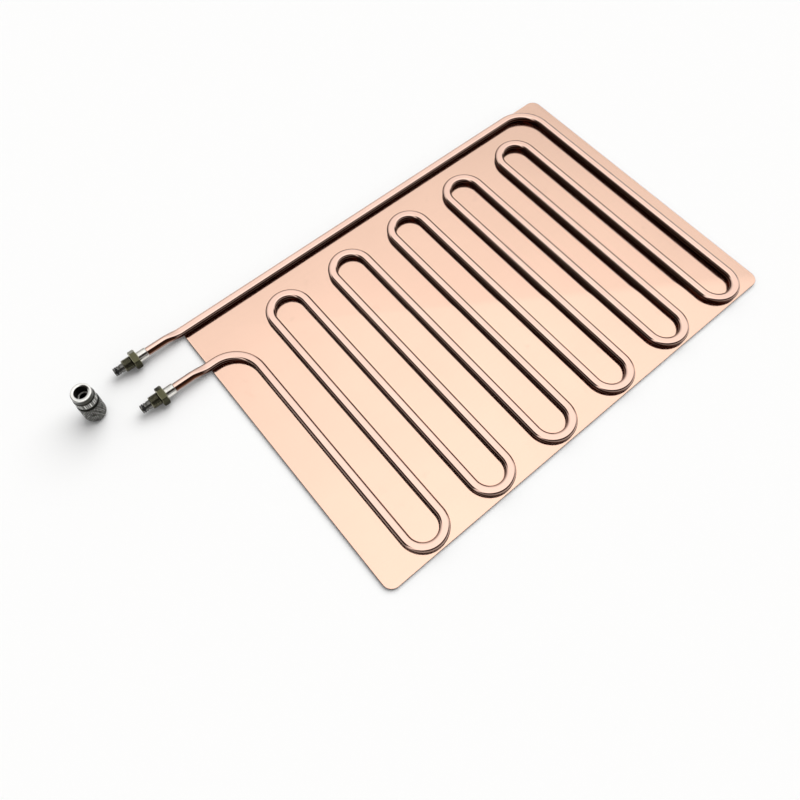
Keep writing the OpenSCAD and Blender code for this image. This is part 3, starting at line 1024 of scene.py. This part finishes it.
        # mouth, from the rim down
        crest, depth = mouth_r, THREAD_DEPTH * f.thread_pitch
        rows([crest + 0.45 * MM, crest + 0.35 * MM], [top, top - 0.1 * MM], 0.0, 1.0, [0.0, 1.0])
        turns = (f.thread_l - 1.0 * MM) / f.thread_pitch
        tz = np.linspace(top - 0.55 * MM, mouth_z + 0.4 * MM, int(turns * thread_rows_a_turn))
        phase = tz[:, None] / f.thread_pitch - a[None, :] / TURN
        relief = ease(saw(phase) * 1.25 - 0.1)
        fade = ease((tz - tz[-1]) / (0.8 * MM))[:, None]
        rows(crest + depth * (1 - relief) * fade, tz, 0.0, 0.0, 1.0)
        rows([crest, crest], [mouth_z + 0.2 * MM, mouth_z], 0.0, 0.0, 1.0)
        rows([pocket_r, pocket_r], [mouth_z - 0.02 * MM, pocket_z], 0.0, 0.0, 1.0)
        rows([nose_r, nose_r], [pocket_z - 0.01 * MM, nose_end], 0.0, 0.0, 1.0)
        rows([bore, bore], [nose_end - 0.02 * MM, port_l + 0.02 * MM], 1.0)
        rows([port_r, port_r], [port_l, 0.35 * MM], [0.9, 0.4])
        radius, height, groove, wear_and_highlight, inner = (
            np.concatenate(q) for q in (rows_r, rows_z, rows_g, rows_w, rows_i)
        )
        stand = functools.partial(np.add, np.array([cx, cy, 0.0]))
        points = stand(turned(radius, height, columns))
        stride = np.abs(np.diff(height[:, 0])) + np.abs(np.diff(radius[:, 0]))
        walked = np.concatenate([[0], np.cumsum(stride)])
        uv = np.stack(np.broadcast_arrays(walked[:, None], a[None, :] * grip_r), -1).reshape(-1, 2)
        piece = put(
            "coupling_turned",
            points.reshape(-1, 3),
            [net(len(radius), columns, rows_meet=True)],
            ["coupling_sleeve"],
            uv=uv,
            marks={"groove": groove.ravel(), "wear_and_highlight": wear_and_highlight.ravel(), "inner": inner.ravel()},
            sharp=math.radians(60),
        )
        dress(piece, plated("dark_nickel", tuple(s.nickel), 0.2, 0.3, (0.86, 0.85, 0.81)))
        outer, inner, low, high = pocket_r - 0.05 * MM, nose_r + 0.1 * MM, pocket_z, mouth_z
        washer = softened([(inner, low), (outer, low), (outer, high), (inner, high)], 0.15 * MM)
        seal = ring_piece(
            "coupling_seal_round", washer, 72, ["coupling_flat_seal"], stand
        )
        dress(seal, moulded("pale_seal", tuple(s.seal), 0.5))
        return {"FINISHED"}


# Stage


class COOLPLATE_OT_stage(bpy.types.Operator):
    """Make the floor, the lights and the camera"""

    bl_idname = "coolplate.stage"
    bl_label = "Stage"

    def execute(self, context):
        s = context.scene.coolplate_stage
        scene = context.scene
        scene.view_settings.view_transform = "Standard"
        self.make_floor(s)
        self.make_world(scene)
        self.make_lights(s)
        self.make_camera(s, scene)
        return {"FINISHED"}

    def make_floor(self, s):
        """Wide pale floor just under the plate, with a little glow where it is seen."""
        half, under, glow = 6.0, 0.00005, 0.04
        corners = np.array([(-half, -half, 0), (half, -half, 0), (half, half, 0), (-half, half, 0)])
        mesh = bpy.data.meshes.new("floor")
        mesh.from_pydata((corners - (0, 0, under)).tolist(), [], [(0, 1, 2, 3)])
        floor = bpy.data.objects.new("floor", mesh)
        bpy.context.scene.collection.objects.link(floor)
        material, p = new_paint("pale_floor")
        camera = p.node("ShaderNodeLightPath", out="Is Camera Ray")
        glossy = p.node("ShaderNodeLightPath", out="Is Glossy Ray")
        p.surface(
            Base_Color=tuple(s.floor),
            Roughness=0.9,
            Specular_IOR_Level=0.0,
            Emission_Color=(1.0, 1.0, 1.0),
            Emission_Strength=(camera + glossy) * glow,
        )
        mesh.materials.append(material)

    def make_world(self, scene):
        """Soft light tent, seen in reflections, with dark cloth where the photograph needs it.

        A black flag is on the right, and dark cloth on the left and behind the camera.
        x, y and z are the parts of the direction that is looked in.
        """
        world = bpy.data.worlds.new("light_tent")
        scene.world = world
        world.use_nodes = True
        p = Paint(world.node_tree)
        way = p.node("ShaderNodeTexCoord", out="Generated")
        split = p.node("ShaderNodeSeparateXYZ", {}, (way,))
        x, y, z = (Wire(p, split.socket.node.outputs[k]) for k in "XYZ")
        beside = y.band(-0.15, 0.0) * (1 - y.band(0.56, 0.70))
        left = (1 - x.band(-0.30, -0.14)) * beside
        right = (1 - (z - x * 0.45).band(0.05, 0.21)) * x.band(0.05, 0.25) * beside
        cloth = (1 - (1 - left) * y.band(-0.40, -0.22)) * (z.band(0.40, 0.54) * 0.46 + 0.52)
        flags = 1 - (1 - cloth) * (1 - right)
        level = z * 0.98 - y * 0.15 + x * 0.10 + 0.32
        pale = p.node("ShaderNodeCombineXYZ", {}, (level, level, level))
        dark_cloth = (0.016, 0.009, 0.006)
        seen = p.blend(flags, pale, dark_cloth)
        camera = p.node("ShaderNodeLightPath", out="Is Camera Ray")
        colour = p.blend(camera, seen, (1.0, 1.0, 1.0))
        # matt surfaces get less of the tent, so that the lamps' shadows stay on the floor
        held_back = 0.55
        diffuse = p.node("ShaderNodeLightPath", out="Is Diffuse Ray")
        strength = 1 - diffuse * held_back
        back = p.node("ShaderNodeBackground", {}, {"Color": colour, "Strength": strength})
        p.node("ShaderNodeOutputWorld", {}, {"Surface": back})

    def make_lights(self, s):
        """Wide soft key light from the plate's far end and a dome, both for matt surfaces."""
        for name, strength, spread, way in (
            ("key", s.key_strength, s.key_spread, (-0.68, -0.22, -1.0)),
            ("dome", s.dome_strength, s.dome_spread, (0.0, 0.0, -1.0)),
        ):
            light = bpy.data.lights.new(name, "SUN")
            light.energy = strength
            light.angle = spread
            lamp = bpy.data.objects.new(name, light)
            lamp.rotation_euler = Vector(way).to_track_quat("-Z", "Y").to_euler()
            lamp.visible_glossy = False
            bpy.context.scene.collection.objects.link(lamp)

    def make_camera(self, s, scene):
        """The photograph's camera."""
        camera = bpy.data.cameras.new("camera")
        camera.sensor_width = 36.0
        camera.lens = s.lens
        camera.shift_x, camera.shift_y = s.lens_shift
        camera.clip_start, camera.clip_end = 0.01, 50.0
        seat = bpy.data.objects.new("camera", camera)
        seat.location = s.camera_at
        seat.rotation_euler = Euler(s.camera_turn, "XYZ")
        scene.collection.objects.link(seat)
        scene.camera = seat


# Panel


class COOLPLATE_PT_panel(bpy.types.Panel):
    """Sizes and buttons of the cooling plate"""

    bl_idname = "COOLPLATE_PT_panel"
    bl_label = "Cooling plate"
    bl_space_type = "VIEW_3D"
    bl_region_type = "UI"
    bl_category = "Cooling plate"

    def draw(self, context):
        for key, group in SETTINGS.items():
            box = self.layout.box()
            settings = getattr(context.scene, key)
            for name in group.__annotations__:
                box.prop(settings, name)
            for operator in BUTTONS[key]:
                box.operator(operator.bl_idname)


SETTINGS = {
    "coolplate_plate": PlateSizes,
    "coolplate_tube": TubeSizes,
    "coolplate_fittings": FittingSizes,
    "coolplate_coupling": CouplingSizes,
    "coolplate_stage": StageSettings,
}
OPERATORS = (
    COOLPLATE_OT_plate,
    COOLPLATE_OT_tube,
    COOLPLATE_OT_nozzles,
    COOLPLATE_OT_collars,
    COOLPLATE_OT_coupling,
    COOLPLATE_OT_stage,
)
BUTTONS = {
    "coolplate_plate": (COOLPLATE_OT_plate,),
    "coolplate_tube": (COOLPLATE_OT_tube,),
    "coolplate_fittings": (COOLPLATE_OT_nozzles, COOLPLATE_OT_collars),
    "coolplate_coupling": (COOLPLATE_OT_coupling,),
    "coolplate_stage": (COOLPLATE_OT_stage,),
}


def register():
    for group in SETTINGS.values():
        bpy.utils.register_class(group)
    for operator in OPERATORS:
        bpy.utils.register_class(operator)
    bpy.utils.register_class(COOLPLATE_PT_panel)
    for key, group in SETTINGS.items():
        setattr(bpy.types.Scene, key, bpy.props.PointerProperty(type=group))


def unregister():
    for key in SETTINGS:
        delattr(bpy.types.Scene, key)
    bpy.utils.unregister_class(COOLPLATE_PT_panel)
    for operator in reversed(OPERATORS):
        bpy.utils.unregister_class(operator)
    for group in reversed(SETTINGS.values()):
        bpy.utils.unregister_class(group)


def main():
    register()
    bpy.ops.coolplate.plate()
    bpy.ops.coolplate.tube()
    bpy.ops.coolplate.nozzles()
    bpy.ops.coolplate.collars()
    bpy.ops.coolplate.coupling()
    bpy.ops.coolplate.stage()


if __name__ == "__main__":
    main()
